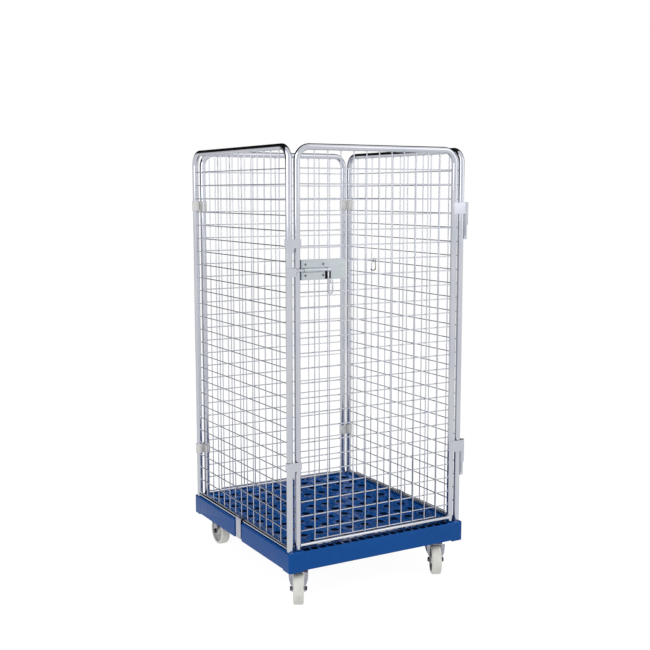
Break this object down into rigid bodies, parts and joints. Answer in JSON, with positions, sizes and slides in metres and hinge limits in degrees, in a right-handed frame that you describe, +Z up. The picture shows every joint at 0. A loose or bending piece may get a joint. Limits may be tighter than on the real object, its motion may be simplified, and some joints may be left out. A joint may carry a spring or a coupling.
{
  "type": "roll cage container",
  "caption": "Four-sided wire mesh roll container: perforated plastic base on two swivel and two fixed castors, mesh panels and a hinged mesh door with sliding bolt.",
  "frame": {"origin": "on the floor, in the middle of the footprint's bounding box with the front castors turned as modelled", "axes": "+Z up, +Y from the door to the back panel, +X to the right seen from the door side, so the door faces -Y and hinges at +X"},
  "size_m": [0.7406, 0.8404, 1.555],
  "materials": {
    "blue_plastic": "semi-gloss moulded polyethylene",
    "grey_clip_plastic": "satin moulded",
    "cast_nylon": "off-white polyamide, satin",
    "dark_steel": "blackened",
    "galvanised_steel": "galvanised",
    "bright_zinc_steel": "bright zinc plated and lacquered"
  },
  "bodies": {
    "base": {"base_platform": "blue_plastic", "left_panel_frame": "bright_zinc_steel", "left_panel_bottom_bar": "bright_zinc_steel", "left_panel_mesh": "bright_zinc_steel", "right_panel_frame": "bright_zinc_steel", "right_panel_bottom_bar": "bright_zinc_steel", "right_panel_mesh": "bright_zinc_steel", "back_panel_frame": "bright_zinc_steel", "back_panel_bottom_bar": "bright_zinc_steel", "back_panel_mesh": "bright_zinc_steel", "left_tie_strap": "galvanised_steel", "right_tie_strap": "galvanised_steel", "left_corner_clip_upper": "grey_clip_plastic", "left_corner_clip_lower": "grey_clip_plastic", "right_corner_clip_upper": "grey_clip_plastic", "right_corner_clip_lower": "grey_clip_plastic", "hinge_pin_upper": "bright_zinc_steel", "hinge_pin_lower": "bright_zinc_steel", "latch_keeper": "bright_zinc_steel", "front_left_castor_plate": "galvanised_steel", "front_right_castor_plate": "galvanised_steel", "front_left_kingpin": "dark_steel", "front_right_kingpin": "dark_steel", "rear_left_fork": "galvanised_steel", "rear_left_axle_bolt": "dark_steel", "rear_left_axle_nut": "dark_steel", "rear_right_fork": "galvanised_steel", "rear_right_axle_bolt": "dark_steel", "rear_right_axle_nut": "dark_steel"},
    "door": {"door_frame": "bright_zinc_steel", "door_bottom_bar": "bright_zinc_steel", "door_mesh": "bright_zinc_steel", "hinge_leaf_upper": "bright_zinc_steel", "hinge_leaf_lower": "bright_zinc_steel", "straddle_clip_upper": "bright_zinc_steel", "straddle_clip_lower": "bright_zinc_steel", "latch_plate": "bright_zinc_steel", "latch_guide": "bright_zinc_steel", "latch_rivet_1": "galvanised_steel", "latch_rivet_2": "galvanised_steel", "latch_rivet_3": "galvanised_steel", "latch_rivet_4": "galvanised_steel"},
    "latch_bolt": {"latch_bolt": "bright_zinc_steel"},
    "latch_handle": {"latch_handle": "bright_zinc_steel"},
    "hold_open_hook": {"hold_open_hook": "bright_zinc_steel"},
    "front_left_fork": {"front_left_fork": "galvanised_steel", "front_left_axle_bolt": "dark_steel", "front_left_axle_nut": "dark_steel"},
    "front_left_wheel": {"front_left_wheel": "cast_nylon"},
    "rear_left_wheel": {"rear_left_wheel": "cast_nylon"},
    "front_right_fork": {"front_right_fork": "galvanised_steel", "front_right_axle_bolt": "dark_steel", "front_right_axle_nut": "dark_steel"},
    "front_right_wheel": {"front_right_wheel": "cast_nylon"},
    "rear_right_wheel": {"rear_right_wheel": "cast_nylon"}
  },
  "joints": [
    {"name": "front_left_swivel", "type": "hinge", "parent": "base", "child": "front_left_fork", "pos_m": [-0.29529, -0.31825, 0.125], "axis": [0, 0, 1], "continuous": true},
    {"name": "front_left_wheel_roll", "type": "hinge", "parent": "front_left_fork", "child": "front_left_wheel", "pos_m": [-0.32154, -0.36659, 0.054], "axis": [0.8788, -0.4772, 0], "continuous": true},
    {"name": "rear_left_wheel_roll", "type": "hinge", "parent": "base", "child": "rear_left_wheel", "pos_m": [-0.29529, 0.33825, 0.054], "axis": [1, 0, 0], "continuous": true},
    {"name": "front_right_swivel", "type": "hinge", "parent": "base", "child": "front_right_fork", "pos_m": [0.27871, -0.31825, 0.125], "axis": [0, 0, 1], "continuous": true},
    {"name": "front_right_wheel_roll", "type": "hinge", "parent": "front_right_fork", "child": "front_right_wheel", "pos_m": [0.25246, -0.36659, 0.054], "axis": [0.8788, -0.4772, 0], "continuous": true},
    {"name": "rear_right_wheel_roll", "type": "hinge", "parent": "base", "child": "rear_right_wheel", "pos_m": [0.27871, 0.33825, 0.054], "axis": [1, 0, 0], "continuous": true},
    {"name": "door_hinge", "type": "hinge", "parent": "base", "child": "door", "pos_m": [0.36181, -0.37175, 0.861], "axis": [0, 0, 1], "range_deg": [0, 260]},
    {"name": "latch_bolt_slide", "type": "slide", "parent": "door", "child": "latch_bolt", "axis": [-1, 0, 0], "range_m": [-0.03, 0.018]},
    {"name": "latch_handle_swing", "type": "hinge", "parent": "latch_bolt", "child": "latch_handle", "pos_m": [-0.21699, -0.38945, 1.143], "axis": [-1, 0, 0], "range_deg": [0, 120]},
    {"name": "hold_open_hook_swing", "type": "hinge", "parent": "base", "child": "hold_open_hook", "pos_m": [0.34136, 0.20415, 1.1195], "axis": [0, -1, 0], "range_deg": [0, 100]}
  ]
}
